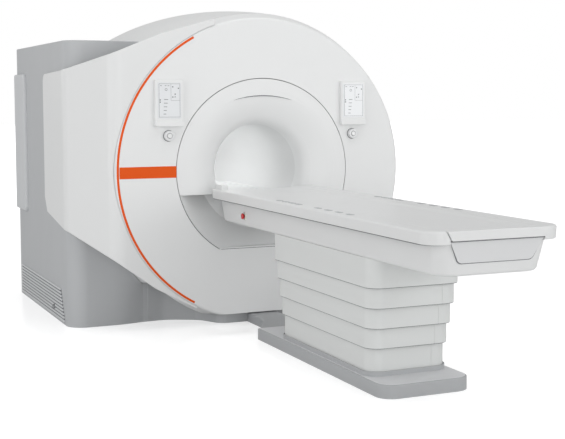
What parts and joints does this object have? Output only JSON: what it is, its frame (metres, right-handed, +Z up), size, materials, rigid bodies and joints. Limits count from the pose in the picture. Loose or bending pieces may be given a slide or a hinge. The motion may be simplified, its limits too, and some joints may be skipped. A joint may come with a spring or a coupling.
{
  "type": "magnetic resonance imaging scanner",
  "caption": "Closed-bore magnetic resonance imaging scanner: round gantry with side electronics cabinet and a sliding patient table on a telescopic lifting pedestal.",
  "frame": {"origin": "on the floor under the magnet's isocentre, centre of the magnet feet's anchor bolts", "axes": "+Z up, +Y along the bore from the patient table towards the rear cover, +X to the right seen from the table"},
  "size_m": [2.3447, 4.807, 2.1127],
  "materials": {
    "cover_white": "smooth satin lacquer",
    "surround_grey": "satin paint",
    "cabinet_grey": "satin paint",
    "table_shell": "satin",
    "accent_orange": "satin",
    "bore_plastic": "satin",
    "knob_plastic": "matt",
    "red_plastic": "gloss",
    "label_film": "matt",
    "display_glass": "gloss",
    "steel": "plain",
    "vessel_steel": "plain",
    "aluminium": "plain",
    "windings": "varnished wire",
    "resin": "cast resin",
    "electronics": "painted"
  },
  "bodies": {
    "gantry": {"accent_arc": "accent_orange", "base_plate": "table_shell", "base_trim": "table_shell", "body_coil": "resin", "bore_bridge": "bore_plastic", "bore_liner": "bore_plastic", "cold_head": "vessel_steel", "control_electronics": "electronics", "control_panel_left": "cover_white", "control_panel_right": "cover_white", "display_left": "display_glass", "display_right": "display_glass", "floor_duct": "table_shell", "front_cover": "cover_white", "front_cover_frame": "aluminium", "front_surround": "surround_grey", "funnel_lower": "cover_white", "funnel_upper": "cover_white", "gradient_amplifier": "electronics", "gradient_coil": "resin", "helium_vessel": "aluminium", "lift_motor": "electronics", "lift_tubes_outer": "steel", "magnet_feet": "steel", "magnet_vessel": "vessel_steel", "mantle_cover": "cover_white", "name_band": "accent_orange", "pedestal_shell_5": "table_shell", "plinth": "cabinet_grey", "radio_amplifier": "electronics", "rear_cover": "cover_white", "rear_cover_frame": "aluminium", "rear_funnel": "cover_white", "service_turret": "vessel_steel", "side_cabinet": "cabinet_grey", "side_panel": "cabinet_grey", "superconducting_windings": "windings", "thermal_shield": "aluminium", "vent_grille": "cabinet_grey"},
    "table": {"table_rim": "table_shell", "tabletop_rails": "bore_plastic", "table_housing": "table_shell", "end_panel": "table_shell", "tabletop_drive": "electronics", "pedestal_shell_1": "table_shell", "lift_tubes_inner": "steel", "estop_collar_left": "label_film", "estop_collar_right": "label_film"},
    "tabletop": {"tabletop": "table_shell"},
    "pedestal_stage_upper": {"pedestal_shell_2": "table_shell"},
    "pedestal_stage_middle": {"pedestal_shell_3": "table_shell", "lift_tubes_middle": "steel"},
    "pedestal_stage_lower": {"pedestal_shell_4": "table_shell"},
    "knob_ring_left": {"knob_dial_left": "knob_plastic"},
    "knob_ring_right": {"knob_dial_right": "knob_plastic"},
    "knob_press_left": {"knob_button_left": "aluminium"},
    "knob_press_right": {"knob_button_right": "aluminium"},
    "stop_button_left": {"estop_button_left": "red_plastic"},
    "stop_button_right": {"estop_button_right": "red_plastic"},
    "vent_catch": {"vent_lock": "steel"}
  },
  "joints": [
    {"name": "table_lift", "type": "slide", "parent": "gantry", "child": "table", "axis": [0, 0, 1], "range_m": [-0.39, 0]},
    {"name": "stage_upper_lift", "type": "slide", "parent": "gantry", "child": "pedestal_stage_upper", "axis": [0, 0, 1], "range_m": [-0.2925, 0]},
    {"name": "stage_middle_lift", "type": "slide", "parent": "gantry", "child": "pedestal_stage_middle", "axis": [0, 0, 1], "range_m": [-0.195, 0]},
    {"name": "stage_lower_lift", "type": "slide", "parent": "gantry", "child": "pedestal_stage_lower", "axis": [0, 0, 1], "range_m": [-0.0975, 0]},
    {"name": "tabletop_slide", "type": "slide", "parent": "table", "child": "tabletop", "axis": [0, 1, 0], "range_m": [0, 1.85]},
    {"name": "knob_turn_left", "type": "hinge", "parent": "gantry", "child": "knob_ring_left", "pos_m": [-0.65, -0.965, 1.25], "axis": [0, 1, 0], "continuous": true},
    {"name": "knob_push_left", "type": "slide", "parent": "gantry", "child": "knob_press_left", "axis": [0, 1, 0], "range_m": [0, 0.002], "stiffness_N_per_m": 1500, "springref_m": -0.001},
    {"name": "stop_push_left", "type": "slide", "parent": "table", "child": "stop_button_left", "axis": [1, 0, 0], "range_m": [0, 0.004], "stiffness_N_per_m": 1500, "springref_m": -0.001},
    {"name": "knob_turn_right", "type": "hinge", "parent": "gantry", "child": "knob_ring_right", "pos_m": [0.65, -0.965, 1.25], "axis": [0, 1, 0], "continuous": true},
    {"name": "knob_push_right", "type": "slide", "parent": "gantry", "child": "knob_press_right", "axis": [0, 1, 0], "range_m": [0, 0.002], "stiffness_N_per_m": 1500, "springref_m": -0.001},
    {"name": "stop_push_right", "type": "slide", "parent": "table", "child": "stop_button_right", "axis": [-1, 0, 0], "range_m": [0, 0.004], "stiffness_N_per_m": 1500, "springref_m": -0.001},
    {"name": "vent_catch_turn", "type": "hinge", "parent": "gantry", "child": "vent_catch", "pos_m": [-1.2293, -0.216, 0.081], "axis": [1, 0, 0], "range_deg": [0, 90]}
  ],
  "couplings": [
    {"joint": "stage_upper_lift", "follows": "table_lift", "ratio": 0.75},
    {"joint": "stage_middle_lift", "follows": "table_lift", "ratio": 0.5},
    {"joint": "stage_lower_lift", "follows": "table_lift", "ratio": 0.25}
  ]
}
